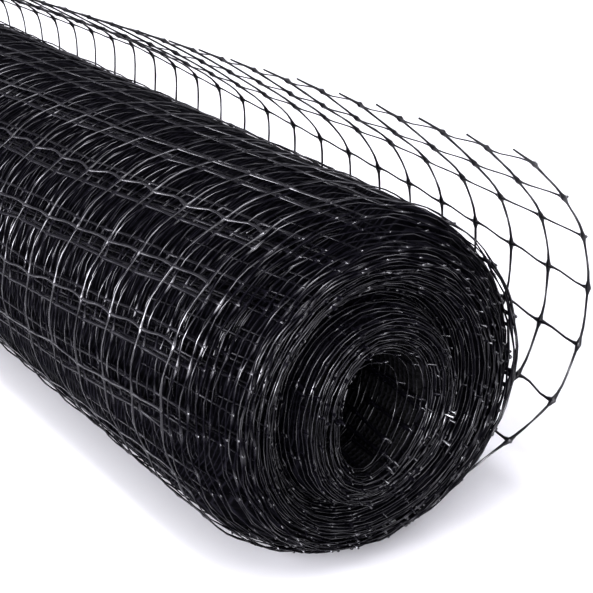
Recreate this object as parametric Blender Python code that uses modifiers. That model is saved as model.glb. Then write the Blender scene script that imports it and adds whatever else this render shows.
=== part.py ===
"""A roll of black mole netting, 1 m wide, lying on its side with its loose end sprung open.

The net is a diamond-stretched plastic mesh of about 15.7 x 19 mm, wound without a tube. The wound
turns are one hollow solid with a telescoped end. The last turn lifts off at the lower right and
curls over the roll, and it is a thin sheet with its meshes cut through.

Frame: the roll's axis runs along +Y, +Z is up, +X is the side on which the loose end curls. The
origin is on the resting flat, under the middle of the roll.
"""

import math
from collections import namedtuple

import bmesh
import bpy
from mathutils import Vector

# The net, in metres
PITCH_ALONG = 0.0157
PITCH_ROUND = 0.0190
CELLS_ALONG = 64
NET_WIDTH = PITCH_ALONG * CELLS_ALONG

# The wound roll
ROLL_RADIUS = 0.0530
REST_SINK = 0.0012
AXIS_HEIGHT = ROLL_RADIUS - REST_SINK
EDGE_NEAR = -NET_WIDTH / 2 + 0.0155
ROUND_STEPS = 72
BODY_SPANS = 16
CORE_SPANS = 6
RIDGES = 18
RIDGE_HEIGHT = 0.0010
BULGE = 0.0007

# The hole that is left where the first turn was wound, wider than deep on its loose side
CORE_CENTRE_X = -0.0040
CORE_HALF_WIDTH = 0.0135
CORE_HALF_HEIGHT = 0.0170

# The loose end
SHEET_THICK = 0.0015
CLEARANCE = 0.0003
STEP_HEIGHT = SHEET_THICK + 2 * CLEARANCE
LEAVES_AT = math.radians(140)
COLUMN_CELLS = 2
KNOT_WIDTH = 0.0022
STRAND_WIDTH = 0.0014
STUB_LENGTH = 0.0085
ROW_SLANT = 0.0007
ROOT_SLANT = 0.0026
SLANT_ROW = 3
FOOT_ROW = 6
FLAP_NEAR = EDGE_NEAR - 0.0278

# How far each ring of the near end stands out from the outermost edge, by its share of the way
# from the core to the outside. Lean is how much further out it stands on the lower right.
LEANS_TOWARDS = math.radians(107)
EndRing = namedtuple("EndRing", "share out lean")
END_RINGS = (
    EndRing(1.00, 0.0108, 0.0139),
    EndRing(0.93, 0.0125, 0.0110),
    EndRing(0.84, 0.0125, 0.0075),
    EndRing(0.73, 0.0255, 0.0045),
    EndRing(0.55, 0.0270, 0.0030),
    EndRing(0.38, 0.0200, 0.0020),
    EndRing(0.28, 0.0300, 0.0010),
    EndRing(0.12, 0.0310, 0.0005),
    EndRing(0.00, 0.0280, 0.0000),
)

# The curl of the loose end at a few places along the roll: where its first row of knots stands,
# and the slope in degrees, down from +X, of each mesh from there to the seventh row. Cells counts
# the meshes from the near end. From the seventh row the sheet runs on to where it leaves the roll.
MESH_CHORD = 0.0189
Curl = namedtuple("Curl", "cells tip_x tip_z first second third fourth fifth sixth")
CURLS = (
    Curl(0, 0.0477, 0.1108, 43, 53, 74, 92, 117, 154),
    Curl(5, 0.0372, 0.1141, 38, 37, 60, 87, 106, 135),
    Curl(10, 0.0295, 0.1150, 33, 36, 43, 88, 95, 121),
    Curl(16, 0.0224, 0.1146, 31, 25, 32, 88, 89, 106),
    Curl(23, 0.0143, 0.1141, 31, 24, 30, 68, 84, 102),
    Curl(64, 0.0125, 0.1160, 30, 26, 34, 66, 84, 104),
)


def clear_scene():
    """Removes what the file opened with."""
    for thing in list(bpy.data.objects):
        bpy.data.objects.remove(thing, do_unlink=True)


def add_collection(name):
    """Returns a new collection that is linked to the scene."""
    group = bpy.data.collections.new(name)
    bpy.context.scene.collection.children.link(group)
    return group


def plastic(name, colour, roughness):
    """Returns a Principled material for the black net."""
    material = bpy.data.materials.new(name)
    material.use_nodes = True
    shader = material.node_tree.nodes["Principled BSDF"]
    shader.inputs["Base Color"].default_value = (*colour, 1)
    shader.inputs["Roughness"].default_value = roughness
    shader.inputs["Metallic"].default_value = 0
    material.diffuse_color = (*colour, 1)
    return material


def add_object(name, mesh, group, material):
    """Links a mesh to a collection under its name, with its material."""
    thing = bpy.data.objects.new(name, mesh)
    mesh.name = name
    mesh.materials.append(material)
    group.objects.link(thing)
    return thing


def outward(angle):
    """The direction from the axis at an angle that is counted from the top towards +X."""
    return Vector((math.sin(angle), 0, math.cos(angle)))


def turned_angle(angle):
    """How far the winding has turned at this angle since the loose end left it."""
    return (angle - LEAVES_AT) % (2 * math.pi)


def uneven(angle, along):
    """The roll's bulges, in metres: it is a little out of round and soft along its length."""
    waves = math.sin(2 * angle + 0.6) + 0.6 * math.sin(3 * angle + 9 * along)
    waves += 0.5 * math.sin(angle + 23 * along + 1.1)
    return BULGE * waves / 2


def ridge(angle):
    """The raised line where the long strands of the turns lie on each other."""
    phase = (angle - LEAVES_AT) * RIDGES / (2 * math.pi)
    return RIDGE_HEIGHT * max(0, math.cos(2 * math.pi * phase)) ** 2


def outer_radius(angle, along):
    """The roll's radius, which falls by one step over the last turn."""
    share = turned_angle(angle) / (2 * math.pi)
    near_step = min(share, 1 - share)
    settle = min(1, near_step / 0.06)
    radius = ROLL_RADIUS - STEP_HEIGHT * share
    return radius + settle * (uneven(angle, along) + ridge(angle) - RIDGE_HEIGHT / 2)


def core_point(angle, along):
    """A point of the hole's wall, where the first turns stand a little uneven."""
    wave = 1 + 0.05 * math.sin(3 * angle + 6 * along)
    x = CORE_CENTRE_X + CORE_HALF_WIDTH * wave * math.sin(angle)
    return Vector((x, 0, CORE_HALF_HEIGHT * wave * math.cos(angle)))


def end_ring(share):
    """The near end's ring at a share of the way from the core to the outside."""
    rings = sorted(END_RINGS)
    for inner, outer in zip(rings, rings[1:]):
        if share <= outer.share:
            part = (share - inner.share) / (outer.share - inner.share)
            out = inner.out + part * (outer.out - inner.out)
            return out, inner.lean + part * (outer.lean - inner.lean)
    return rings[-1].out, rings[-1].lean


def roll_point(angle, share, along):
    """A point of the wound roll.

    angle is counted from the top, share runs from the core to the outside, and along from the
    near edge to the far one. Each turn is as wide as the net, so a ring that stands out at the
    near end lies as deep at the far one.
    """
    out, lean = end_ring(share)
    y = EDGE_NEAR + along * NET_WIDTH - out - lean * math.cos(angle - LEANS_TOWARDS)
    rim = outward(angle) * outer_radius(angle, y)
    point = core_point(angle, y).lerp(rim, share)
    return Vector((point.x, y, max(0, AXIS_HEIGHT + point.z)))


def roll_profile():
    """The roll's half section as (share, along) pairs, down the outside and up the core."""
    shares = [ring.share for ring in END_RINGS]
    outside = [(1, 1 - i / BODY_SPANS) for i in range(BODY_SPANS + 1)]
    near_end = [(share, 0) for share in shares[1:]]
    inside = [(0, i / CORE_SPANS) for i in range(1, CORE_SPANS + 1)]
    far_end = [(share, 1) for share in reversed(shares[1:-1])]
    return outside + near_end + inside + far_end


def snapped(angle):
    """Draws the two angles beside the step together, so that the step is a clean edge."""
    step = 2 * math.pi / ROUND_STEPS
    half = CLEARANCE / 4 / ROLL_RADIUS
    away = (angle - LEAVES_AT + math.pi) % (2 * math.pi) - math.pi
    if 0 <= away < step * 0.75:
        return LEAVES_AT + half
    if -step * 0.75 < away < 0:
        return LEAVES_AT - half
    return angle


def build_roll(group, material):
    """The wound turns: a turned ring that is then drawn into the roll's own uneven form."""
    mesh = bpy.data.meshes.new("wound_roll_section")
    section = [Vector((1 + share, 0, along)) for share, along in roll_profile()]
    count = len(section)
    mesh.from_pydata(section, [(i, (i + 1) % count) for i in range(count)], [])
    turned = bpy.data.objects.new("wound_roll_section", mesh)
    group.objects.link(turned)
    screw = turned.modifiers.new("turn", "SCREW")
    screw.steps = ROUND_STEPS
    screw.render_steps = ROUND_STEPS
    screw.use_merge_vertices = True
    screw.merge_threshold = 0.0001
    bpy.context.view_layer.update()
    shaped = bpy.data.meshes.new_from_object(turned.evaluated_get(bpy.context.evaluated_depsgraph_get()))
    bpy.data.objects.remove(turned, do_unlink=True)
    half_step = math.pi / ROUND_STEPS
    for vertex in shaped.vertices:
        x, y, along = vertex.co
        share = math.hypot(x, y) - 1
        angle = snapped(math.atan2(x, y) + LEAVES_AT - math.pi / 2 + half_step)
        vertex.co = roll_point(angle, round(share, 4), along)
    body = bmesh.new()
    body.from_mesh(shaped)
    bmesh.ops.recalc_face_normals(body, faces=body.faces)
    body.to_mesh(shaped)
    body.free()
    roll = add_object("wound_roll", shaped, group, material)
    shaped.shade_smooth()
    shaped.set_sharp_from_angle(angle=math.radians(35))
    return roll


def spline(points, place):
    """A smooth curve through evenly numbered points, at a place from 0 to the last number."""
    last = len(points) - 1
    start = max(0, min(last - 1, int(place)))
    part = place - start
    ends = points[start], points[start + 1]
    before = points[start - 1] if start > 0 else ends[0] * 2 - ends[1]
    after = points[start + 2] if start + 2 <= last else ends[1] * 2 - ends[0]
    slopes = (ends[1] - before) / 2, (after - ends[0]) / 2
    square, cube = part**2, part**3
    blend = ends[0] * (2 * cube - 3 * square + 1) + ends[1] * (3 * square - 2 * cube)
    return blend + slopes[0] * (cube - 2 * square + part) + slopes[1] * (cube - square)


def curl_at(cells):
    """The curl's row of the table at a number of meshes from the near end."""
    for first, second in zip(CURLS, CURLS[1:]):
        if cells <= second.cells:
            part = (cells - first.cells) / (second.cells - first.cells)
            return Curl(*(a + part * (b - a) for a, b in zip(first, second)))
    return CURLS[-1]


def curl_knots(cells):
    """The sheet's line at one column: its rows of knots, then its root and a point beyond."""
    curl = curl_at(cells)
    knots = [Vector((curl.tip_x, 0, curl.tip_z))]
    for slope in curl[3:]:
        heading = math.radians(slope)
        knots.append(knots[-1] + MESH_CHORD * Vector((math.cos(heading), 0, -math.sin(heading))))
    middle = ROLL_RADIUS - SHEET_THICK / 2 - CLEARANCE / 2
    edge = LEAVES_AT - CLEARANCE / ROLL_RADIUS
    axis = Vector((0, 0, AXIS_HEIGHT))
    knots.append(axis + outward(edge) * middle)
    knots.append(axis + outward(edge + 0.36) * middle)
    return knots


def slant(row):
    """How far a row is drawn along the roll, more so where the sheet runs on to its root."""
    return ROW_SLANT * (row - SLANT_ROW) + ROOT_SLANT * max(0, row - FOOT_ROW)


def band_stations(cells):
    """Places along one crosswise strand, each a point and the strand's half width there.

    They run from the cut end to the root. A knot is the two stations on either side of it.
    """
    knots = curl_knots(cells)
    root = len(knots) - 2
    half = KNOT_WIDTH / 2
    share = half / PITCH_ROUND
    tip = knots[0] + (knots[0] - spline(knots, share)).normalized() * STUB_LENGTH
    stations = [(tip, STRAND_WIDTH / 2), (knots[0] * 2 - spline(knots, share), half)]
    for row in range(root):
        stations.append((spline(knots, row + share), half))
        stations.append((spline(knots, row + 0.5), STRAND_WIDTH / 2))
        if row + 1 < root:
            stations.append((spline(knots, row + 1 - share), half))
    stations.append((spline(knots, root - 2 * share), half))
    stations.append((knots[root], half))
    return stations


def build_loose_end(group, material):
    """The sprung last turn: bands of sheet round open meshes, given their thickness."""
    body = bmesh.new()
    grid = []
    for cells in range(0, CELLS_ALONG + 1, COLUMN_CELLS):
        column = []
        for place, (point, half) in enumerate(band_stations(cells)):
            row = (place - 1) / 3
            y = FLAP_NEAR + cells * PITCH_ALONG + slant(row)
            pair = [body.verts.new((point.x, y + side * half, point.z)) for side in (-1, 1)]
            column.append(pair)
        grid.append(column)
    for column in grid:
        for near, far in zip(column, column[1:]):
            body.faces.new((near[0], near[1], far[1], far[0]))
    for left, right in zip(grid, grid[1:]):
        for start in range(1, len(left), 3):
            near, far = left[start][1], left[start + 1][1]
            body.faces.new((near, right[start][0], right[start + 1][0], far))
    bmesh.ops.recalc_face_normals(body, faces=body.faces)
    mesh = bpy.data.meshes.new("loose_end")
    body.to_mesh(mesh)
    body.free()
    sheet = add_object("loose_end", mesh, group, material)
    solid = sheet.modifiers.new("thickness", "SOLIDIFY")
    solid.thickness = SHEET_THICK
    solid.offset = 0
    solid.use_even_offset = True
    return sheet


def main():
    """Builds the roll and its loose end."""
    clear_scene()
    group = add_collection("mole_netting_roll")
    wound = plastic("wound_net", (0.012, 0.012, 0.013), 0.42)
    loose = plastic("loose_net", (0.010, 0.010, 0.011), 0.38)
    build_roll(group, wound)
    build_loose_end(group, loose)


main()
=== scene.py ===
"""The dressed roll of mole netting: every strand of its outer turns, ends and sprung loose end.

The net is one long sheet. A point on it is named by its row, counted from the cut edge of the
loose end, and by its cells, counted from the near selvage. Rows 0 to 7 stand free and curl over
the roll, and every later row is wound on it, turn under turn, down to the hole in the middle.

Frame: the roll's axis runs along +Y, +Z is up, and +X is the side on which the loose end curls.
Angles on the roll are counted from the top towards +X.
"""

import logging
import math
from dataclasses import dataclass
from enum import Enum
from functools import partial

import bpy
import numpy as np
from bpy.types import ID, Material, Mesh, NodeSocket, NodeTree, Object
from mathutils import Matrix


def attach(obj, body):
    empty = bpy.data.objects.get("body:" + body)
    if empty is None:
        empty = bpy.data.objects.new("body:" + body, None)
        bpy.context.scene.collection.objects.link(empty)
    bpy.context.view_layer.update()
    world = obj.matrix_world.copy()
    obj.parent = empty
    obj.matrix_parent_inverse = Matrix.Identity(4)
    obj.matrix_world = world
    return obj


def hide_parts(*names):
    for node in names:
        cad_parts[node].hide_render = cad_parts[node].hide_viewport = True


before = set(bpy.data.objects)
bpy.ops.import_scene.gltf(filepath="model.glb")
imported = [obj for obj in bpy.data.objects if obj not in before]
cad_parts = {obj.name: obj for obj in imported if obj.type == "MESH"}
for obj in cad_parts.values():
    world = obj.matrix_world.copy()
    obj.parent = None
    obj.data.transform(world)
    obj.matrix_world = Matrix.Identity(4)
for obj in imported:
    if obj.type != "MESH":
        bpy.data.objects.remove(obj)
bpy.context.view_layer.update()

MM = 0.001
TURN = 2 * math.pi
Array = np.ndarray
Triple = tuple[float, float, float]
log = logging.getLogger("mole_netting")


class Node(Enum):
    """The solids that the dressed pieces stand for."""

    ROLL = "wound_roll"
    LOOSE = "loose_end"


class Slot(Enum):
    """The record's finishes."""

    WOUND = "wound_net"
    LOOSE = "loose_net"


@dataclass(frozen=True)
class Net:
    """The net's own sizes as it lies flat, in metres."""

    pitch_along: float = 15.7 * MM
    pitch_round: float = 19.0 * MM
    cells_along: int = 64
    first_wound_row: int = 8
    foot_row: int = 6
    stub: float = 12.5 * MM

    @property
    def width(self) -> float:
        """The net's width from selvage to selvage."""
        return self.pitch_along * self.cells_along


@dataclass(frozen=True)
class Ring:
    """One ring of the near end.

    Share is its place from the core to the outside, out is how many millimetres it stands out from
    the outermost edge, and lean is how much further out it stands on the lower right.
    """

    share: float
    out: float
    lean: float


RINGS = (
    Ring(0.00, 28.0, 0.0), Ring(0.12, 31.0, 0.5), Ring(0.28, 30.0, 1.0), Ring(0.38, 20.0, 2.0),
    Ring(0.55, 27.0, 3.0), Ring(0.73, 25.5, 4.5), Ring(0.84, 19.5, 7.5), Ring(0.93, 15.5, 11.0),
    Ring(1.00, 10.8, 13.9),
)


@dataclass(frozen=True)
class Curl:
    """The loose end's line at one place along the roll.

    The tip is its first row of knots, in millimetres. The slopes are those of its first six meshes,
    in degrees down from +X.
    """

    cells: int
    tip_x: float
    tip_z: float
    slopes: tuple[float, ...]


CURLS = (
    Curl(0, 47.7, 110.8, (43, 53, 74, 92, 117, 154)),
    Curl(5, 37.2, 114.1, (38, 37, 60, 87, 106, 135)),
    Curl(10, 29.5, 115.0, (33, 36, 43, 88, 95, 121)),
    Curl(16, 22.4, 114.6, (31, 25, 32, 88, 89, 106)),
    Curl(23, 14.3, 114.1, (31, 24, 30, 80, 92, 102)),
    Curl(64, 12.5, 116.0, (30, 26, 34, 86, 96, 106)),
)


@dataclass(frozen=True)
class RollForm:
    """The wound roll's outer form, its hole and its telescoped ends."""

    radius: float = 53.0 * MM
    rest_sink: float = 1.2 * MM
    leaves_at: float = math.radians(140)
    leans_towards: float = math.radians(107)
    edge_in: float = 15.5 * MM
    bulge: float = 0.7 * MM
    net_half: float = 0.3 * MM
    core_x: float = -4.0 * MM
    core_half_width: float = 13.5 * MM
    core_half_height: float = 17.0 * MM
    funnel: float = 4.0 * MM
    funnel_share: float = 0.26
    outer_step: float = 1.0 * MM
    inner_step: float = 0.62 * MM
    outer_rows: tuple[float, ...] = (17.27, 16.93, 16.63, 16.30, 15.97, 15.73, 15.25, 14.88)
    rows_from: float = math.radians(160)

    @property
    def axis_height(self) -> float:
        """The height of the roll's axis."""
        return self.radius - self.rest_sink

    @property
    def near_y(self) -> float:
        """The y of the outermost turn's near edge."""
        return -Net().width / 2 + self.edge_in

    @property
    def depth(self) -> float:
        """How thick the wound turns are, from the outside to the hole."""
        return self.radius - self.net_half - (self.core_half_width + self.core_half_height) / 2

    @property
    def turns(self) -> float:
        """The number of turns on the roll."""
        outer = len(self.outer_rows)
        return outer + (self.depth - outer * self.outer_step) / self.inner_step

    def share(self, turned: Array) -> Array:
        """Works out how far out a turn lies.

        Args:
            turned: how far the winding has turned since the loose end left it, in radians.

        Returns:
            The place of each from 0 at the hole to 1 at the outside.
        """
        turns, outer = turned / TURN, len(self.outer_rows)
        steps = np.clip(turns, 0, outer) * self.outer_step + np.maximum(turns - outer, 0) * self.inner_step
        return 1 - steps / self.depth

    def point(self, share: Array, angle: Array, along: Array) -> Array:
        """Finds points of the wound turns.

        Args:
            share: the place of each from 0 at the hole to 1 at the outside.
            angle: the angle of each.
            along: the distance from the near selvage.

        Returns:
            An array of points, with x, y and z last.
        """
        shares = [ring.share for ring in RINGS]
        out = np.interp(share, shares, [ring.out * MM for ring in RINGS])
        lean = np.interp(share, shares, [ring.lean * MM for ring in RINGS])
        out = out - self.funnel * np.clip(1 - share / self.funnel_share, 0, 1) * bump(angle % TURN, 1.7, 1.9)
        y = self.near_y + along - out - lean * np.cos(angle - self.leans_towards)
        waves = np.sin(2 * angle + 0.6) + 0.6 * np.sin(3 * angle + 9 * y) + 0.5 * np.sin(angle + 23 * y + 1.1)
        rim = self.radius - self.net_half + self.bulge * waves / 2
        wave = 1 + 0.05 * np.sin(3 * angle + 6 * y)
        core_x = self.core_x + self.core_half_width * wave * np.sin(angle)
        core_z = self.core_half_height * wave * np.cos(angle)
        x = core_x + share * (rim * np.sin(angle) - core_x)
        z = core_z + share * (rim * np.cos(angle) - core_z)
        return np.stack([x, y, z + self.axis_height], axis=-1)


def bump(value: Array, middle: float, half: float) -> Array:
    """A smooth hump of height 1 round the middle that ends at half on either side."""
    return (1 + np.cos(np.pi * np.clip(np.abs(value - middle) / half, 0, 1))) / 2


def swell(places: Array) -> Array:
    """A smooth rise from 0 at the knots to 1 in the middle of each mesh."""
    return (1 - np.cos(TURN * places)) / 2


def drawn_share(places: Array) -> Array:
    """How glossy a strand is: most between two knots, where it is drawn out, and on the knots."""
    knots = 0.9 * (np.abs(places - np.round(places)) < 0.02)
    return np.maximum(1.4 * np.sin(np.pi * places) ** 8, knots)


def lattice(table: Array, first: Array, second: Array) -> Array:
    """Reads a table of numbers between its places.

    Args:
        table: the numbers.
        first: places along the table's first side.
        second: places along its second side.

    Returns:
        The numbers there, each drawn from the four round it.
    """
    first = np.clip(first, 0, table.shape[0] - 1.001)
    second = np.clip(second, 0, table.shape[1] - 1.001)
    i, j = first.astype(int), second.astype(int)
    a, b = first - i, second - j
    low = table[i, j] * (1 - b) + table[i, j + 1] * b
    high = table[i + 1, j] * (1 - b) + table[i + 1, j + 1] * b
    return low * (1 - a) + high * a


def spline(knots: Array, places: Array) -> Array:
    """Reads a smooth curve through evenly numbered points.

    Args:
        knots: the points.
        places: where to read it, from 0 to the last number.

    Returns:
        The points there.
    """
    padded = np.vstack([knots[0] * 2 - knots[1], knots, knots[-1] * 2 - knots[-2]])
    inside = np.clip(places, 0, len(knots) - 1 - 1e-6)
    start = inside.astype(int)
    part = (inside - start)[:, None]
    before, first, second, after = (padded[start + i] for i in range(4))
    slopes = (second - before) / 2, (after - first) / 2
    square, cube = part**2, part**3
    point = first * (2 * cube - 3 * square + 1) + second * (3 * square - 2 * cube)
    return point + slopes[0] * (cube - 2 * square + part) + slopes[1] * (cube - square)


@dataclass
class NetSheet:
    """Where each point of the net lies: sprung free at its end, then wound on the roll.

    A loose spot is how many millimetres the outer turns stand off the roll there, its middle and
    how far it reaches to either side, in degrees since the loose end left it.
    """

    net: Net
    form: RollForm
    mesh_chord: float = 18.9 * MM
    sheet_thick: float = 1.5 * MM
    clearance: float = 0.3 * MM
    beyond: float = 0.36
    near_edge: float = 27.8 * MM
    row_slant: float = 0.7 * MM
    slant_row: int = 3
    root_slant: float = 2.6 * MM
    slack: float = 0.5
    slack_rows: int = 6
    stub_rise: float = math.radians(8)
    line_step: float = 0.05
    column_step: float = 0.5
    table_start: float = -0.6
    loose_spots: tuple[tuple[float, ...], ...] = ((0.6, 306, 50), (0.2, 215, 60), (0.3, 660, 48))
    drift: float = 0.35 * MM
    unevenness: float = 0.2 * MM
    free_kink: float = 0.16 * MM
    wound_kink: float = 0.34 * MM
    reach: float = 0.06
    seed: int = 11

    def __post_init__(self) -> None:
        """Works out the tables that the places are read from."""
        net, form = self.net, self.form
        self.turned = np.linspace(0, TURN * form.turns, int(form.turns * 90))
        radius = form.radius - form.net_half - (1 - form.share(self.turned)) * form.depth
        steps = (radius[1:] + radius[:-1]) / 2 * np.diff(self.turned) / net.pitch_round
        turn = np.floor((self.turned[1:] - form.rows_from) / TURN)
        for number, count in enumerate(form.outer_rows):
            steps[turn == number] *= count / steps[turn == number].sum()
        self.laid = np.concatenate([[0], np.cumsum(steps)])
        self.rows = net.first_wound_row + int(self.laid[-1] + self.slack) - 1
        self.columns = np.arange(0, net.cells_along + self.column_step, self.column_step)
        self.line_rows = np.arange(self.table_start, net.first_wound_row + 1, self.line_step)
        roots, lines = zip(*(self.free_line(cells) for cells in self.columns))
        self.root_rows = np.array(roots)
        self.free_x, self.free_z = np.array(lines).transpose(2, 0, 1)
        rng = np.random.default_rng(self.seed)
        self.shake = rng.normal(size=(3, self.rows + 4, net.cells_along + 3))
        self.drifts = rng.normal(size=int(form.turns * 2) + 4)
        self.drifts[:3] = 0
        self.lifts = rng.normal(size=int(form.turns * 5) + 10)
        self.lifts[:5] = 0

    def curl_knots(self, cells: float) -> Array:
        """Walks the loose end's rows at one column, then its root and a point beyond.

        Args:
            cells: the column.

        Returns:
            The x and z of the knots of rows 0 to 6, of the root and of a point on the roll.
        """
        places = [curl.cells for curl in CURLS]
        x = np.interp(cells, places, [curl.tip_x * MM for curl in CURLS])
        z = np.interp(cells, places, [curl.tip_z * MM for curl in CURLS])
        knots = [(x, z)]
        for mesh in range(self.net.foot_row):
            heading = math.radians(np.interp(cells, places, [curl.slopes[mesh] for curl in CURLS]))
            x += self.mesh_chord * math.cos(heading)
            z -= self.mesh_chord * math.sin(heading)
            knots.append((x, z))
        middle = self.form.radius - self.sheet_thick / 2 - self.clearance / 2
        for angle in (self.form.leaves_at, self.form.leaves_at + self.beyond):
            knots.append((middle * math.sin(angle), self.form.axis_height + middle * math.cos(angle)))
        return np.array(knots)

    def free_line(self, cells: float) -> tuple[float, Array]:
        """Works out the loose end's line at one column.

        Args:
            cells: the column.

        Returns:
            The row at which the line meets the roll, and its x and z at each of line_rows.
        """
        knots = self.curl_knots(cells)
        foot = self.net.foot_row
        parts = np.linspace(0, 1, 33)
        steps = np.linalg.norm(np.diff(spline(knots, foot + parts), axis=0), axis=1)
        travelled = np.concatenate([[0], np.cumsum(steps)])
        beyond = (self.line_rows - foot) * self.net.pitch_round
        late = foot + np.interp(beyond, travelled, parts)
        mesh = knots[1] - knots[0]
        heading = math.atan2(mesh[1], mesh[0]) + self.stub_rise
        stub = self.mesh_chord * np.array([math.cos(heading), math.sin(heading)])
        before = np.minimum(self.line_rows, 0)[:, None] * stub
        line = spline(knots, np.where(self.line_rows > foot, late, self.line_rows)) + before
        return foot + travelled[-1] / self.net.pitch_round, line

    def slant(self, row: Array, root: Array) -> Array:
        """Works out how far a row of the loose end is drawn along the roll.

        Args:
            row: rows from the cut edge.
            root: the row at which each column meets the roll.

        Returns:
            The distances, which grow towards the root.
        """
        late = np.maximum(row - self.net.foot_row, 0) / (root - self.net.foot_row)
        held = np.minimum(row, self.net.foot_row) + late - self.slant_row
        return self.row_slant * held + self.root_slant * late

    def loosened(self, turned: Array, cells: Array) -> Array:
        """How far the last two turns stand off the roll, more so at the near end."""
        lift = sum(height * MM * bump(turned, math.radians(middle), math.radians(half))
                   for height, middle, half in self.loose_spots)
        return lift * (0.45 + 0.55 * np.exp(-cells / 5))

    def smooth_place(self, row: Array, cells: Array) -> Array:
        """Finds where points of the net lie, before its small kinks.

        Args:
            row: rows from the cut edge.
            cells: meshes from the near selvage.

        Returns:
            An array of points, with x, y and z last.
        """
        net, form = self.net, self.form
        column, line = cells / self.column_step, (row - self.table_start) / self.line_step
        root = np.interp(cells, self.columns, self.root_rows)
        y = form.near_y - self.near_edge + cells * net.pitch_along + self.slant(row, root)
        free = np.stack([lattice(self.free_x, column, line), y, lattice(self.free_z, column, line)], axis=-1)
        laid = row - root - self.slack * np.clip((row - root) / self.slack_rows, 0, 1)
        turned = np.interp(laid, self.laid, self.turned)
        angle = form.leaves_at + turned
        wound = form.point(form.share(turned), angle, cells * net.pitch_along)
        turns = turned / TURN
        wound[..., 1] += self.drift * np.interp(turns * 2, range(len(self.drifts)), self.drifts)
        lift = self.loosened(turned, cells)
        lift = lift + self.unevenness * np.interp(turns * 5, range(len(self.lifts)), self.lifts)
        wound[..., 0] += lift * np.sin(angle)
        wound[..., 2] += lift * np.cos(angle)
        self.curl_inside(wound, turns, angle)
        return np.where((row < root)[..., None], free, wound)

    def curl_inside(self, wound: Array, turns: Array, angle: Array) -> None:
        """Draws the first two turns into the hole on its right, where they lie loose.

        Args:
            wound: the points, which are changed.
            turns: how many turns lie outside each.
            angle: the angle of each.
        """
        loose = np.clip((turns - self.form.turns + 2.1) / 1.6, 0, 1)
        drawn = 1 - 0.24 * loose * (0.5 + 0.5 * np.sin(angle + 0.3))
        for axis, centre in ((0, self.form.core_x - 3 * MM), (2, self.form.axis_height)):
            wound[..., axis] = centre + (wound[..., axis] - centre) * drawn

    def place(self, row: Array, cells: Array) -> tuple[Array, Array]:
        """Finds points of the net with its kinks, and which way its outer face looks.

        Args:
            row: rows from the cut edge.
            cells: meshes from the near selvage.

        Returns:
            The points and the unit normals, with x, y and z last.
        """
        middle = self.smooth_place(row, cells)
        tangent = self.smooth_place(row + self.reach, cells) - self.smooth_place(row - self.reach, cells)
        tangent[..., 1] = 0
        tangent /= np.maximum(np.linalg.norm(tangent, axis=-1, keepdims=True), 1e-9)
        normal = np.stack([-tangent[..., 2], 0 * tangent[..., 1], tangent[..., 0]], axis=-1)
        size = np.where(row < self.net.first_wound_row, self.free_kink, self.wound_kink)
        kinks = [size * lattice(table, row + 1, cells + 1) for table in self.shake]
        middle = middle + kinks[0][..., None] * tangent + 0.4 * kinks[2][..., None] * normal
        middle[..., 1] += kinks[1] * 0.6
        return middle, normal


@dataclass(frozen=True)
class Strand:
    """How a strand changes over one mesh.

    Stations are pairs of a place in the mesh, from a knot at 0 to the middle at 0.5, and its half
    width there in millimetres. The other half of the mesh mirrors them. Sway is how far it swings
    to either side between two knots, bulge is how far it rises between them, sag is how far it
    hangs as a share of its sway, and twist is how far it turns about its own line. Gloss is how it
    shines where it is drawn out, and least is how it shines at the least.
    """

    stations: tuple[tuple[float, float], ...]
    sway: float
    bulge: float = 0.0
    sag: float = 0.0
    twist: float = 0.3
    gloss: float = 1.0
    least: float = 0.0

    def over(self, first: int, last: int) -> tuple[Array, Array]:
        """Lists the places along a strand.

        Args:
            first: the knot that it starts from.
            last: the knot that it ends at.

        Returns:
            The places and the half widths there.
        """
        mirrored = [(1 - place, half) for place, half in self.stations[:0:-1] if place < 0.5]
        shares, halves = np.array([*self.stations, *mirrored]).T
        places = (np.arange(first, last)[:, None] + shares).ravel()
        widths = np.tile(halves * MM, last - first)
        return np.append(places, last), np.append(widths, widths[0])


FINE_ROUND = Strand(((0, 1.05), (0.055, 0.78), (0.13, 0.48), (0.3, 0.41), (0.5, 0.39)), 0.15 * MM)
FINE_ACROSS = Strand(((0, 0.95), (0.06, 0.70), (0.15, 0.42), (0.32, 0.34), (0.5, 0.32)), 0.65 * MM)
TOP_ROUND = Strand(
    ((0, 1.05), (0.09, 0.64), (0.3, 0.50), (0.5, 0.47)), 0.2 * MM, 0.6 * MM, gloss=0.8, least=0.9)
TOP_ACROSS = Strand(((0, 1.00), (0.1, 0.62), (0.3, 0.51), (0.5, 0.49)), 0.3 * MM, sag=4.5, least=1.5)
WOUND_ROUND = Strand(((0, 0.92), (0.19, 0.42), (0.41, 0.35)), 0.08 * MM, 0.9 * MM, twist=0.2)
WOUND_ACROSS = Strand(((0, 1.05), (0.11, 0.66), (0.5, 0.54)), 0.2 * MM, sag=1.0, least=0.85)
DEEP_ROUND = Strand(((0, 0.95), (0.16, 0.42), (0.5, 0.37)), 0.1 * MM, 0.9 * MM, twist=0.2, gloss=0.4)
DEEP_ACROSS = Strand(((0, 1.05), (0.16, 0.48)), 0.3 * MM)
EDGE_ROUND = Strand(((0, 0.62), (0.12, 0.30), (0.37, 0.24)), 0.2 * MM, 0.35 * MM)
CORE_ROUND = Strand(((0, 0.62), (0.1, 0.32), (0.3, 0.25), (0.5, 0.24)), 0.2 * MM, 0.2 * MM)


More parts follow.
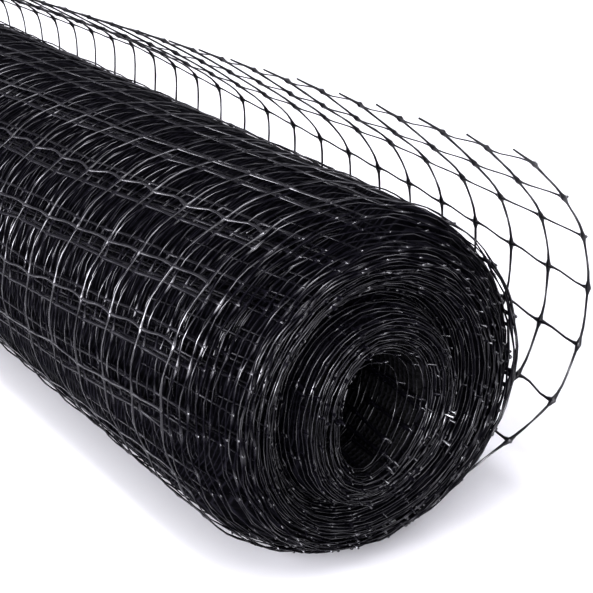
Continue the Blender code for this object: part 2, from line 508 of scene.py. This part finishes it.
def fill(node: bpy.types.Node, entries: dict[str | int, object]) -> None:
    """Gives inputs of a node their values or links.

    Args:
        node: the node.
        entries: by the input's name or number, its value, or the output or the node that is linked
            to it. A node gives the first of its outputs that is in use.
    """
    for entry, value in entries.items():
        if isinstance(value, bpy.types.Node):
            value = next(output for output in value.outputs if output.enabled)
        if isinstance(value, NodeSocket):
            node.id_data.links.new(value, node.inputs[entry])
        else:
            node.inputs[entry].default_value = value


def add_node(tree: NodeTree, kind: str, entries: dict[str | int, object] | None = None,
             **settings: object) -> bpy.types.Node:
    """Adds a node to a tree.

    Args:
        tree: the tree.
        kind: the node's type.
        entries: its inputs, as fill takes them.
        settings: its other settings.

    Returns:
        The node.
    """
    node = tree.nodes.new(kind)
    for name, setting in settings.items():
        setattr(node, name, setting)
    fill(node, entries or {})
    return node


def ramp(tree: NodeTree, value: object, reach: tuple[float, float],
         ends: tuple[object, object] = (0.0, 1.0), **settings: object) -> bpy.types.Node:
    """Adds a node that leads a value from the stretch that is its reach to that between its ends."""
    stretches = {"From Min": reach[0], "From Max": reach[1], "To Min": ends[0], "To Max": ends[1]}
    return add_node(tree, "ShaderNodeMapRange", {"Value": value} | stretches, **settings)


def add_object(name: str, data: ID) -> Object:
    """Adds an object to the scene.

    Args:
        name: its name.
        data: the mesh, lamp or camera that it carries.

    Returns:
        The object.
    """
    made = bpy.data.objects.new(name, data)
    bpy.context.scene.collection.objects.link(made)
    return made


class StrandTree:
    """The node tree that gives guide lines the body of flat drawn strands."""

    def __init__(self) -> None:
        """Builds the tree."""
        tree = bpy.data.node_groups.new("net_strands", "GeometryNodeTree")
        self.tree = tree
        self.identifiers: dict[str, str] = {}
        kinds = {"Guides": "Geometry", "Sides": "Int", "Flatness": "Float", "Finish": "Material"}
        for name, kind in kinds.items():
            socket = tree.interface.new_socket(name, in_out="INPUT", socket_type="NodeSocket" + kind)
            self.identifiers[name] = socket.identifier
        tree.interface.new_socket("Strands", in_out="OUTPUT", socket_type="NodeSocketGeometry")
        make = partial(add_node, tree)
        start = make("NodeGroupInput").outputs
        facing, half = (
            make("GeometryNodeInputNamedAttribute", {"Name": name}, data_type=kind)
            for name, kind in (("outward", "FLOAT_VECTOR"), ("half_width", "FLOAT")))
        line = make("GeometryNodeMeshToCurve", {"Mesh": start["Guides"]})
        line = make("GeometryNodeSetCurveNormal", {"Curve": line, "Normal": facing}, mode="FREE")
        line = make("GeometryNodeSetCurveRadius", {"Curve": line, "Radius": half})
        ring = make("GeometryNodeCurvePrimitiveCircle", {"Resolution": start["Sides"], "Radius": 1})
        flat = make("ShaderNodeCombineXYZ", {"X": start["Flatness"], "Y": 1, "Z": 1})
        section = make("GeometryNodeTransform", {"Geometry": ring, "Scale": flat})
        body = make("GeometryNodeCurveToMesh", {
            "Curve": line, "Profile Curve": section, "Scale": half, "Fill Caps": True})
        body = make("GeometryNodeSetShadeSmooth", {"Geometry": body})
        body = make("GeometryNodeRealizeInstances", {"Geometry": body})
        body = make("GeometryNodeSetMaterial", {"Geometry": body, "Material": start["Finish"]})
        make("NodeGroupOutput", {"Strands": body})

    def body(self, name: str, guides: Mesh, sides: int, flatness: float, finish: Material) -> Object:
        """Turns guide lines into a plain mesh of strands.

        Args:
            name: the piece's name.
            guides: the mesh of guide lines.
            sides: how many sides a strand's section has.
            flatness: a strand's thickness as a share of its width.
            finish: the material.

        Returns:
            The finished piece.
        """
        holder = add_object(name + "_guides", guides)
        maker = holder.modifiers.new("strands", "NODES")
        maker.node_group = self.tree
        for label, value in (("Sides", sides), ("Flatness", flatness), ("Finish", finish)):
            maker[self.identifiers[label]] = value
        evaluated = holder.evaluated_get(bpy.context.evaluated_depsgraph_get())
        mesh = bpy.data.meshes.new_from_object(evaluated)
        bpy.data.objects.remove(holder, do_unlink=True)
        bpy.data.meshes.remove(guides)
        mesh.name = name
        return add_object(name, mesh)


class Guides:
    """The guide lines of one piece, which the strands follow, and its own small differences."""

    def __init__(self, sheet: NetSheet, seed: int) -> None:
        """Starts with no lines.

        Args:
            sheet: where the net lies.
            seed: what the small differences start from.
        """
        self.sheet = sheet
        self.rng = np.random.default_rng(seed)
        self.lines: list[tuple[Array, ...]] = []

    def add(self, rows: Array, cells: Array, halves: Array, flatness: float, rise: float | Array = 0.0,
            twist: float | Array = 0.0, drawn: float | Array = 0.25) -> None:
        """Adds lines that run along the last side of the arrays.

        Args:
            rows: the row of each station.
            cells: its column.
            halves: the strand's half width there.
            flatness: the strand's thickness as a share of its width.
            rise: how far each station stands off the net's own face.
            twist: how far it is turned towards the far end, in radians.
            drawn: how glossy the plastic is there.
        """
        points, normals = self.sheet.place(rows, cells)
        points += normals * np.broadcast_to(rise, rows.shape)[..., None]
        points[..., 2] = np.maximum(points[..., 2], halves * max(flatness, 0.75))
        twist = np.broadcast_to(twist, rows.shape)[..., None]
        normals = normals * np.cos(twist) + np.array([0, 1, 0]) * np.sin(twist)
        self.lines += zip(points, normals, halves, np.broadcast_to(drawn, rows.shape))

    def mesh(self) -> Mesh:
        """Makes the lines a mesh of edges.

        Returns:
            The mesh, with each point's facing, half width and gloss.
        """
        points, normals, halves, drawn = (
            np.concatenate(part).astype(np.float32) for part in zip(*self.lines))
        ends = np.cumsum([len(line[0]) for line in self.lines]) - 1
        firsts = np.delete(np.arange(len(points)), ends)
        mesh = bpy.data.meshes.new("guides")
        mesh.vertices.add(len(points))
        mesh.vertices.foreach_set("co", points.ravel())
        mesh.edges.add(len(firsts))
        mesh.edges.foreach_set("vertices", np.stack([firsts, firsts + 1], axis=1).astype(np.int32).ravel())
        mesh.attributes.new("outward", "FLOAT_VECTOR", "POINT").data.foreach_set("vector", normals.ravel())
        for name, values in (("half_width", halves), ("drawn", drawn)):
            mesh.attributes.new(name, "FLOAT", "POINT").data.foreach_set("value", values)
        mesh.update()
        return mesh


@dataclass
class NetPiece:
    """A stretch of the net: its strands round the roll and those across it.

    Cut ends are the stations of a stub past a cut row, as its share of the stub and the half width.
    """

    name: str
    first_row: int
    last_row: int
    first_column: int
    last_column: int
    round_strand: Strand
    across_strand: Strand
    sides: int
    node: Node = Node.ROLL
    slot: Slot = Slot.WOUND
    flatness: float = 0.48
    nub: float = 1.2 * MM
    nub_far: float = 1.2 * MM
    nub_tip: float = 0.45 * MM
    cut_first: bool = False
    cut_last: bool = False
    cut_ends: tuple[tuple[float, float], ...] = ((1.0, 0.32 * MM), (0.5, 0.40 * MM), (0.12, 0.55 * MM))
    uneven: float = 0.06
    seed: int = 1

    def build(self, sheet: NetSheet, tree: StrandTree, finish: Material) -> Object:
        """Builds the piece.

        Args:
            sheet: where the net lies.
            tree: the tree that gives strands their body.
            finish: the material.

        Returns:
            The finished piece.
        """
        guides = Guides(sheet, self.seed)
        self.add_round(guides)
        self.add_across(guides)
        piece = tree.body(self.name, guides.mesh(), self.sides, self.flatness, finish)
        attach(piece, "root")
        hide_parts(self.node.value)
        triangles = sum(len(face.vertices) - 2 for face in piece.data.polygons)
        log.info("%s: %d strands, %d triangles", self.name, len(guides.lines), triangles)
        return piece

    def add_round(self, guides: Guides) -> None:
        """Adds the strands that run round the roll, with stubs past a cut row.

        Args:
            guides: the lines to add to.
        """
        net, rng, strand = guides.sheet.net, guides.rng, self.round_strand
        places, halves = strand.over(self.first_row, self.last_row)
        columns = np.arange(self.first_column, self.last_column + 1)[:, None]
        count = len(columns)
        rows = np.tile(places, (count, 1))
        widths = np.tile(halves, (count, 1)) * (1 + self.uneven * rng.normal(size=rows.shape))
        cells = columns + strand.sway / net.pitch_along * np.sin(TURN * rows)
        meshes = np.floor(places - self.first_row + 1e-6).astype(int)
        slack = rng.uniform(0.75, 1.15, size=(count, self.last_row - self.first_row + 1))
        shine = strand.gloss * rng.uniform(0.3, 1.7, size=slack.shape)
        rise = strand.bulge * slack[:, meshes] * swell(rows)
        drawn = np.maximum(drawn_share(rows) * shine[:, meshes], strand.least)
        reach = net.stub / net.pitch_round * rng.uniform(0.75, 1.05, size=(count, 1))
        parts = [rows, cells, widths, rise, drawn]
        for cut, knot, way, gloss in (
                (self.cut_first, self.first_row, -1, 0.5), (self.cut_last, self.last_row, 1, 2.5)):
            if cut:
                shares, tips = np.array(self.cut_ends[::-way]).T
                flat = np.zeros((count, len(shares)))
                stubs = (knot + way * reach * shares, columns + flat, tips + flat, flat, gloss + flat)
                parts = [np.hstack(pair[::way]) for pair in zip(parts, stubs)]
        rows, cells, widths, rise, drawn = parts
        twist = strand.twist * rng.normal(size=rows.shape) * np.abs(np.sin(np.pi * rows))
        guides.add(rows, cells, widths, self.flatness, rise, twist, drawn)

    def add_across(self, guides: Guides) -> None:
        """Adds the strands that run along the roll, with a cut nub past each selvage.

        Args:
            guides: the lines to add to.
        """
        net, rng, strand = guides.sheet.net, guides.rng, self.across_strand
        places, halves = strand.over(self.first_column, self.last_column)
        lines = np.arange(self.first_row + (0 if self.cut_first else 1), self.last_row + 1)[:, None]
        cells = np.tile(places, (len(lines), 1))
        widths = np.tile(halves, (len(lines), 1)) * (1 + self.uneven * rng.normal(size=cells.shape))
        if self.cut_first:
            widths *= np.clip(0.78 + 0.07 * lines, 0, 1.1)
        sag = rng.uniform(-0.3, 1.0, size=lines.shape) * swell(cells)
        sway = strand.sway / net.pitch_round * (np.sin(TURN * cells) + strand.sag * sag)
        rows = np.hstack([lines, lines + sway * np.where(lines % 2, 1, 0.6), lines])
        near, far = (rng.uniform(0.4, 1.0, size=lines.shape) * nub for nub in (self.nub, self.nub_far))
        cells = np.hstack([
            self.first_column - near / net.pitch_along, cells, self.last_column + far / net.pitch_along])
        widths = np.pad(widths, ((0, 0), (1, 1)), constant_values=self.nub_tip)
        rise = 0.7 * strand.sway * np.sin(TURN * cells) * np.clip(1.2 - lines / 4, 0, 1)
        rise[:, 0] = near[:, 0] * rng.uniform(0.0, 0.7, size=len(lines))
        drawn = np.full(rows.shape, max(0.25, strand.least))
        drawn[:, 0] = drawn[:, -1] = 1.6
        guides.add(rows, cells, widths, self.flatness, rise, drawn=drawn)


@dataclass
class SelvagePiece(NetPiece):
    """A stretch of the net of which only one selvage shows, with the first part of its cross strands.

    Steps are the stations of that part, from its cut nub inwards: the distance from the selvage and
    the half width, both in millimetres, and the gloss. Frayed is the place of the turns whose edge
    stands loose on the right, as the form's share.
    """

    far: bool = False
    steps: tuple[tuple[float, ...], ...] = (
        (0, 0.46, 3.6), (0, 0.55, 1.8), (1.7, 0.42, 0.3), (4.2, 0.36, 0.2), (9.5, 0.36, 0.2))
    frayed: float = 0.27

    def add_round(self, guides: Guides) -> None:
        """Adds the selvage's own strand.

        Args:
            guides: the lines to add to.
        """
        rng, strand = guides.rng, self.round_strand
        column = self.last_column if self.far else self.first_column
        places, halves = strand.over(self.first_row, self.last_row)
        rows = places[None, :]
        rise = strand.bulge * swell(rows) * rng.uniform(0.0, 1.5, size=rows.shape)
        halves = halves * rng.uniform(0.8, 1.25, size=rows.shape)
        sway = strand.sway * rng.normal(size=rows.shape) / guides.sheet.net.pitch_along
        sway = sway * np.abs(np.sin(np.pi * rows))
        twist = strand.twist * rng.normal(size=rows.shape)
        drawn = drawn_share(rows) * rng.uniform(0.1, 2.1, size=rows.shape)
        guides.add(rows, column + sway, halves, self.flatness, rise, twist, drawn)

    def add_across(self, guides: Guides) -> None:
        """Adds the shown part of the cross strands, each with its cut nub.

        Args:
            guides: the lines to add to.
        """
        sheet, rng = guides.sheet, guides.rng
        column, inwards = (self.last_column, -1) if self.far else (self.first_column, 1)
        lines = np.arange(self.first_row + 1, self.last_row + 1)[:, None]
        turned = np.interp(lines - sheet.net.first_wound_row, sheet.laid, sheet.turned)
        right = bump((sheet.form.leaves_at + turned) % TURN, 1.9, 1.5)
        loose = bump(sheet.form.share(turned), self.frayed, 0.12) * right
        nubs = rng.uniform(0.2, 1.0, size=lines.shape) * self.nub * (1 + 0.4 * loose)
        steps, halves, drawn = (
            np.tile(part, (len(lines), 1)) for part in np.array(self.steps).T * [[MM], [MM], [1]])
        steps[:, :1] = -nubs
        halves *= rng.uniform(0.75, 1.25, size=halves.shape)
        halves[:, :2] *= 1 + 0.2 * loose
        rows = lines + 0.012 * rng.normal(size=steps.shape)
        rise = np.zeros_like(steps)
        rise[:, :1] = nubs * rng.uniform(0.0, 0.7, size=lines.shape)
        drawn[:, :2] *= rng.uniform(size=loose.shape) ** (4 - 3 * loose) * (1 + 0.5 * loose)
        cells = column + inwards * steps / sheet.net.pitch_along
        guides.add(rows, cells, halves, self.flatness, rise, 0.0, drawn)


@dataclass(frozen=True)
class TurnGroup:
    """Some turns that share one way of being modelled."""

    name: str
    turns: int
    sides: int
    round_strand: Strand
    across_strand: Strand


FULL_TURNS = (
    TurnGroup("outer_turn_1", 1, 5, TOP_ROUND, TOP_ACROSS),
    TurnGroup("outer_turn_2", 1, 5, WOUND_ROUND, WOUND_ACROSS),
    TurnGroup("outer_turns_3_4", 2, 4, WOUND_ROUND, WOUND_ACROSS),
    TurnGroup("outer_turns_5_6", 2, 3, DEEP_ROUND, WOUND_ACROSS),
    TurnGroup("outer_turns_7_8", 2, 3, DEEP_ROUND, DEEP_ACROSS),
    TurnGroup("outer_turn_9", 1, 3, DEEP_ROUND, DEEP_ACROSS),
)


@dataclass
class WoundTurns:
    """The turns on the roll: whole ones outside and in the hole, and the ends of those between."""

    shoulder_turns: int = 8
    shoulder_cells: int = 4
    core_rows: int = 29
    edge_nub: float = 2.4 * MM
    core_nub: float = 3.2 * MM
    core_nub_far: float = 2.5 * MM

    def build(self, sheet: NetSheet, tree: StrandTree, side: Material, ends: Material) -> None:
        """Builds the turns.

        Args:
            sheet: where the net lies.
            tree: the tree that gives strands their body.
            side: the finish of the whole turns outside.
            ends: the finish of the turns that show at the ends and in the hole.
        """
        width, start = sheet.net.cells_along, sheet.net.first_wound_row
        row, turned = start, 0
        for number, group in enumerate(FULL_TURNS):
            turned += group.turns
            end = int(start + np.interp(turned * TURN, sheet.turned, sheet.laid) + sheet.slack)
            NetPiece(group.name, row, end, 0, width, group.round_strand, group.across_strand, group.sides,
                     seed=number + 20).build(sheet, tree, side)
            row = end
        turned += self.shoulder_turns
        shoulder = int(start + np.interp(turned * TURN, sheet.turned, sheet.laid))
        far = width - self.shoulder_cells
        for name, first, seed in (("near_shoulder", 0, 31), ("far_shoulder", far, 32)):
            NetPiece(name, row, shoulder, first, first + self.shoulder_cells, WOUND_ROUND, WOUND_ACROSS, 3,
                     seed=seed).build(sheet, tree, side)
        core = sheet.rows - self.core_rows
        for name, far, seed in (("near_end_turns", False, 41), ("far_end_turns", True, 42)):
            SelvagePiece(name, shoulder, core, 0, width, EDGE_ROUND, WOUND_ACROSS, 4,
                         nub=self.edge_nub, far=far, seed=seed).build(sheet, tree, ends)
        NetPiece("core_turns", core, sheet.rows, 0, width, CORE_ROUND, WOUND_ACROSS, 3, nub=self.core_nub,
                 nub_far=self.core_nub_far, cut_last=True, seed=43).build(sheet, tree, ends)


@dataclass
class PackedTurns:
    """The dark body of the turns that lie deep in the roll, set back from both ends.

    Its outside lies under the outer turns, falls to the end turn at both ends, and comes up to the
    tight turn round the tight angle, where the turns are pressed together.
    """

    outer_turn: float = 8.0
    end_turn: float = 16.5
    taper: float = 45 * MM
    tight_turn: float = 1.1
    tight_angle: float = math.radians(130)
    inner_turns: float = 4.4
    set_back: float = 7.5 * MM
    tight_set_back: float = 3.0 * MM
    lowest: float = 1.4 * MM
    steps_round: int = 96
    steps_along: int = 32
    steps_deep: int = 14
    bars_round: int = 16

    def points(self, sheet: NetSheet) -> Array:
        """Works out the body's surface.

        Args:
            sheet: where the net lies.

        Returns:
            Its points, by the place in its section and then by the angle.
        """
        form, net = sheet.form, sheet.net
        spread = (1 - np.cos(np.linspace(0, np.pi, self.steps_along))) / 2
        alongs = self.set_back + (net.width - 2 * self.set_back) * spread
        deeps = np.linspace(0, 1, self.steps_deep)[1:-1]
        section = [(0, along) for along in alongs] + [(deep, alongs[-1]) for deep in deeps]
        section += [(1, along) for along in alongs[::-1]] + [(deep, alongs[0]) for deep in deeps[::-1]]
        deep, along = np.array(section).T[:, :, None]
        angles = np.linspace(0, TURN, self.steps_round, endpoint=False)[None, :]
        tight = np.clip(1.65 + 1.91 * np.cos(angles - self.tight_angle), 0, 1)
        sunk = bump(np.minimum(along, net.width - along), self.set_back, self.taper)
        turn = self.outer_turn + (self.end_turn - self.outer_turn) * sunk
        outer = form.share((turn + (self.tight_turn - turn) * tight) * TURN)
        inner = form.share(np.full_like(angles, (form.turns - self.inner_turns) * TURN))
        shares = outer + (inner - outer) * deep
        stretch = (self.set_back - self.tight_set_back) * tight
        along = along * (1 + stretch * 2 / net.width) - stretch
        points = form.point(shares, np.broadcast_to(angles, shares.shape), along)
        points[..., 2] = np.maximum(points[..., 2], self.lowest)
        return points

    def build(self, sheet: NetSheet, finish: Material) -> Object:
        """Builds the body as a closed tube.

        Args:
            sheet: where the net lies.
            finish: the material.

        Returns:
            The finished piece.
        """
        points = self.points(sheet)
        count, around = points.shape[:2]
        grid = [(i, j) for i in range(count) for j in range(around)]
        corners = ((0, 0), (0, 1), (1, 1), (1, 0))
        faces = [[(i + a) % count * around + (j + b) % around for a, b in corners] for i, j in grid]
        mesh = bpy.data.meshes.new("packed_turns")
        mesh.from_pydata(points.reshape(-1, 3).tolist(), [], faces)
        section = np.vstack([points[:, 0], points[:1, 0]])
        run = np.concatenate([[0], np.cumsum(np.linalg.norm(np.diff(section, axis=0), axis=1))])
        run /= sheet.net.pitch_along
        wound = [(run[i + a], (j + b) / around * self.bars_round) for i, j in grid for a, b in corners]
        mesh.uv_layers.new(name="wound").uv.foreach_set("vector", np.ravel(wound))
        mesh.materials.append(finish)
        mesh.shade_smooth()
        piece = add_object("packed_turns", mesh)
        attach(piece, "root")
        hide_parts(Node.ROLL.value)
        log.info("packed_turns: %d faces", len(faces))
        return piece


@dataclass
class LooseEnd:
    """The sprung end of the net, from its cut edge to the roll.

    Its strands cover about an eighth of its outline, so it is built as strands and not as cloth.
    """

    sides: int = 6
    flatness: float = 0.8

    def build(self, sheet: NetSheet, tree: StrandTree, finish: Material) -> None:
        """Builds the loose end from the sheet, with the tree's strands in the finish."""
        NetPiece("loose_end_net", 0, sheet.net.first_wound_row, 0, sheet.net.cells_along, FINE_ROUND,
                 FINE_ACROSS, self.sides, Node.LOOSE, Slot.LOOSE, self.flatness, cut_first=True,
                 seed=5).build(sheet, tree, finish)


def drawn_plastic() -> NodeTree:
    """Builds the surface of drawn plastic: fine streaks, dull patches and a little dust.

    Returns:
        The shader group, which the finishes of the net share.
    """
    group = bpy.data.node_groups.new("drawn_plastic", "ShaderNodeTree")
    for name, value in (("Grain", 900.0), ("Waves", 260.0), ("Patches", 45.0),
                        ("Dull", 0.14), ("Gloss", 0.30), ("Relief", 0.25)):
        socket = group.interface.new_socket(name, in_out="INPUT", socket_type="NodeSocketFloat")
        socket.default_value = value
    for name, way, kind in (
            ("Clean", "INPUT", "Color"), ("Dusty", "INPUT", "Color"), ("Colour", "OUTPUT", "Color"),
            ("Roughness", "OUTPUT", "Float"), ("Polish", "OUTPUT", "Float"), ("Normal", "OUTPUT", "Vector")):
        group.interface.new_socket(name, in_out=way, socket_type="NodeSocket" + kind)
    make = partial(add_node, group)
    start = make("NodeGroupInput").outputs
    place = make("ShaderNodeTexCoord").outputs["Object"]
    grain, patches, waves = (
        make("ShaderNodeTexNoise", {"Vector": place, "Scale": start[name]})
        for name in ("Grain", "Patches", "Waves"))
    dull = make("ShaderNodeMath", {0: patches, 1: start["Dull"], 2: start["Gloss"]},
                operation="MULTIPLY_ADD")
    dust = ramp(group, grain, (0.55, 0.8))
    colour = make("ShaderNodeMix", {"Factor": dust, 6: start["Clean"], 7: start["Dusty"]},
                  data_type="RGBA")
    swells = make("ShaderNodeBump", {"Strength": 0.5, "Distance": 0.8 * MM, "Height": waves})
    relief = make("ShaderNodeBump", {
        "Strength": start["Relief"], "Distance": 0.1 * MM, "Height": grain, "Normal": swells})
    shine = ramp(group, make("ShaderNodeAttribute", attribute_name="drawn").outputs["Fac"], (0.15, 2.9))
    uneven = ramp(group, waves, (0.3, 0.7), (0.6, 1.3))
    polish = make("ShaderNodeMath", {0: shine, 1: uneven}, operation="MULTIPLY", use_clamp=True)
    make("NodeGroupOutput", {"Colour": colour, "Roughness": dull, "Polish": polish, "Normal": relief})
    return group


@dataclass(frozen=True)
class NetFinish:
    """Glossy black plastic, drawn into strands."""

    name: str
    clean: Triple = (0.003, 0.0027, 0.0045)
    dusty: Triple = (0.009, 0.008, 0.0115)
    gloss: float = 0.10
    dull: float = 0.16
    shine: float = 0.24
    polish_ior: float = 2.4
    polish_roughness: float = 0.17

    def material(self, plastic: NodeTree) -> Material:
        """Builds the finish.

        Args:
            plastic: the shader group of drawn plastic.

        Returns:
            The material.
        """
        material = bpy.data.materials.new(self.name)
        material.use_nodes = True
        surface = add_node(material.node_tree, "ShaderNodeGroup", {
            "Clean": (*self.clean, 1), "Dusty": (*self.dusty, 1), "Gloss": self.gloss,
            "Dull": self.dull}, node_tree=plastic).outputs
        fill(material.node_tree.nodes["Principled BSDF"], {
            "Base Color": surface["Colour"], "Roughness": surface["Roughness"],
            "Normal": surface["Normal"], "Coat Weight": surface["Polish"],
            "Specular IOR Level": self.shine, "Coat IOR": self.polish_ior,
            "Coat Roughness": self.polish_roughness})
        return material


@dataclass(frozen=True)
class PackedFinish:
    """The deep turns, seen as dark crossed lines between the strands above them. Between the lines the body
    carries painted shade, darker than the plastic's own black.

    The wall of the hole is a little lighter: painted light, added near the roll's axis.
    """

    name: str = "packed_net"
    # painted shade: the body between the lines is darker than the strands' black plastic, standing for the
    # shade of the turns above it
    colour: Triple = (0.0015, 0.0014, 0.0022)
    lines_colour: Triple = (0.009, 0.0084, 0.012)
    painted_hole_light: Triple = (0.0055, 0.0055, 0.005)
    hole_light_radius: float = 19.0 * MM
    hole_light_edge: float = 2.0 * MM
    lines_along: float = 5.0
    lines_round: float = 2.4

    def material(self, form: RollForm) -> Material:
        """Builds the finish.

        Args:
            form: the roll's form.

        Returns:
            The material.
        """
        material = bpy.data.materials.new(self.name)
        material.use_nodes = True
        tree = material.node_tree
        make = partial(add_node, tree)
        wound = make("ShaderNodeUVMap", uv_map="wound")
        turns, bars = (
            make("ShaderNodeTexWave", {
                "Vector": wound, "Scale": lines / math.pi * 1.57, "Distortion": 2.4, "Detail Scale": 0.7},
                bands_direction=axis).outputs["Fac"]
            for axis, lines in (("X", self.lines_along), ("Y", self.lines_round)))
        top = make("ShaderNodeMath", {0: turns, 1: bars}, operation="MAXIMUM")
        lined = make("ShaderNodeMix", {
            "Factor": ramp(tree, turns, (0.72, 1.0)), 6: (*self.colour, 1), 7: (*self.lines_colour, 1)},
            data_type="RGBA")
        place = make("ShaderNodeTexCoord").outputs["Object"]
        aside = make("ShaderNodeVectorMath", {
            0: place, 1: (1, 0, 1), 2: (-form.core_x, 0, -form.axis_height)}, operation="MULTIPLY_ADD")
        distance = make("ShaderNodeVectorMath", {0: aside}, operation="LENGTH")
        # painted light: the colour is lightened on the wall of the hole, within a set distance of the roll's
        # axis
        near = ramp(tree, distance, (self.hole_light_radius, self.hole_light_radius + self.hole_light_edge), (1.0, 0.0))
        colour = make("ShaderNodeMix", {"Factor": near, 6: lined, 7: (*self.painted_hole_light, 1)},
                      data_type="RGBA", blend_type="ADD")
        fill(tree.nodes["Principled BSDF"], {
            "Base Color": colour, "Roughness": ramp(tree, top, (0.0, 1.0), (0.75, 0.4)),
            "Normal": make("ShaderNodeBump", {"Distance": 0.8 * MM, "Height": top}),
            "Specular IOR Level": 0.008})
        return material


@dataclass(frozen=True)
class SkyPatch:
    """A broad bright patch of the sky, like a soft box, or a strip light that lies along Y.

    Full and edge are how far from its middle it is at full strength and gone, in degrees. Strip is
    how far a strip light reaches to either side of its long middle line, in degrees.
    """

    towards: Triple
    full: float
    edge: float
    strength: float
    strip: float | None = None


@dataclass(frozen=True)
class Studio:
    """A pale floor in a white room, and the camera at the photograph's angle."""

    floor_half: float = 4.0
    floor_colour: Triple = (0.60, 0.60, 0.60)
    camera_place: Triple = (-0.2011, -0.7403, 0.2284)
    camera_tilt: float = math.radians(90 - 25.546)
    camera_turn: float = math.radians(-37.129)
    focal_share: float = 1296.2 / 593
    sensor: float = 36.0
    sky_colour: Triple = (0.94, 0.93, 1.0)
    horizon: float = 0.04
    zenith: float = 0.16
    backdrop: float = 1.05
    gamma: float = 0.85
    sun_towards: Triple = (-0.45, -0.10, 0.89)
    sun_spread: float = math.radians(20)
    sun_strength: float = 0.9
    patches: tuple[SkyPatch, ...] = (
        SkyPatch((-0.81, 0.0, 0.58), 22, 46, 19.5, 2.4),
        SkyPatch((-0.22, 0.0, 0.975), 22, 44, 15.0, 3.0),
        SkyPatch((-0.98, 0.0, 0.17), 20, 50, 31.0, 4.0),
        SkyPatch((0.72, 0.0, 0.69), 20, 46, 4.0, 4.0),
        SkyPatch((-0.25, -0.93, 0.27), 10, 40, 4.5),
        SkyPatch((0.54, -0.55, 0.64), 6, 22, 3.0),
        SkyPatch((0.70, -0.69, 0.17), 6, 24, 4.0),
        SkyPatch((0.15, 0.95, 0.27), 20, 70, 0.5),
    )

    def build(self) -> None:
        """Builds the floor, the lights, the sky and the camera."""
        self._camera()
        self._floor()
        self._sky()
        self._sun()

    def _camera(self) -> None:
        """Sets the camera."""
        data = bpy.data.cameras.new("photo_camera")
        data.sensor_width = self.sensor
        data.lens = self.focal_share * self.sensor
        data.clip_start = 0.01
        camera = add_object("photo_camera", data)
        camera.location = self.camera_place
        camera.rotation_euler = (self.camera_tilt, 0, self.camera_turn)
        bpy.context.scene.camera = camera

    def _floor(self) -> None:
        """Lays the floor."""
        half = self.floor_half
        mesh = bpy.data.meshes.new("floor")
        corners = [(-half, -half, 0), (half, -half, 0), (half, half, 0), (-half, half, 0)]
        mesh.from_pydata(corners, [], [(0, 1, 2, 3)])
        material = bpy.data.materials.new("floor")
        material.use_nodes = True
        fill(material.node_tree.nodes["Principled BSDF"], {
            "Base Color": (*self.floor_colour, 1), "Roughness": 0.6})
        mesh.materials.append(material)
        floor = add_object("floor", mesh)

    def _sky(self) -> None:
        """Sets the white surroundings, seen as a plain white wall, and plain colour handling."""
        scene = bpy.context.scene
        scene.world = bpy.data.worlds.new("white_room")
        scene.world.use_nodes = True
        tree = scene.world.node_tree
        make, soft = partial(add_node, tree), partial(ramp, tree, interpolation_type="SMOOTHSTEP")
        place = make("ShaderNodeTexCoord").outputs["Generated"]
        height = make("ShaderNodeSeparateXYZ", {"Vector": place}).outputs["Z"]
        total = soft(height, (0.0, 0.9), (self.horizon, self.zenith))
        for patch in self.patches:
            near = make("ShaderNodeVectorMath", {0: place, 1: patch.towards}, operation="DOT_PRODUCT")
            full, edge = (math.cos(math.radians(angle)) for angle in (patch.full, patch.edge))
            strength = patch.strength
            if patch.strip:
                across = (-patch.towards[2], 0, patch.towards[0])
                side = make("ShaderNodeVectorMath", {0: place, 1: across}, operation="DOT_PRODUCT")
                aside = make("ShaderNodeMath", {0: side}, operation="ABSOLUTE")
                reach = [math.sin(math.radians(patch.strip * share)) for share in (1, 2)]
                strength = soft(aside, reach, (patch.strength, 0.0))
            total = make("ShaderNodeMath", {0: total, 1: soft(near, (edge, full), (0.0, strength))})
        path = make("ShaderNodeLightPath").outputs["Is Camera Ray"]
        seen = make("ShaderNodeMix", {"Factor": path, 2: total, 3: self.backdrop})
        fill(tree.nodes["Background"], {"Color": (*self.sky_colour, 1), "Strength": seen})
        scene.view_settings.view_transform = "Standard"
        scene.view_settings.gamma = self.gamma

    def _sun(self) -> None:
        """Adds a broad soft light that is as strong all over the floor."""
        data = bpy.data.lights.new("key", "SUN")
        data.angle = self.sun_spread
        data.energy = self.sun_strength
        x, y, z = self.sun_towards
        lamp = add_object("key", data)
        lamp.rotation_euler = (math.atan2(math.hypot(x, y), z), 0, math.atan2(x, -y))


def main() -> None:
    """Builds the studio, the finishes and the pieces of the net."""
    logging.basicConfig(level=logging.INFO, format="%(message)s")
    Studio().build()
    sheet = NetSheet(Net(), RollForm())
    log.info("the roll has %.1f turns and %d rows", sheet.form.turns, sheet.rows)
    tree = StrandTree()
    plastic = drawn_plastic()
    # painted shade: the loose end's plastic is a darker copy of the wound net's colours, for the shade it
    # sits in
    loose = NetFinish("loose_net_plastic", (0.002, 0.0018, 0.003), (0.006, 0.0055, 0.0075), 0.22, 0.14)
    side, ends = NetFinish("side_net_plastic", shine=0.04), NetFinish("wound_net_plastic")
    LooseEnd().build(sheet, tree, loose.material(plastic))
    WoundTurns().build(sheet, tree, side.material(plastic), ends.material(plastic))
    PackedTurns().build(sheet, PackedFinish().material(sheet.form))


if __name__ == "__main__":
    main()
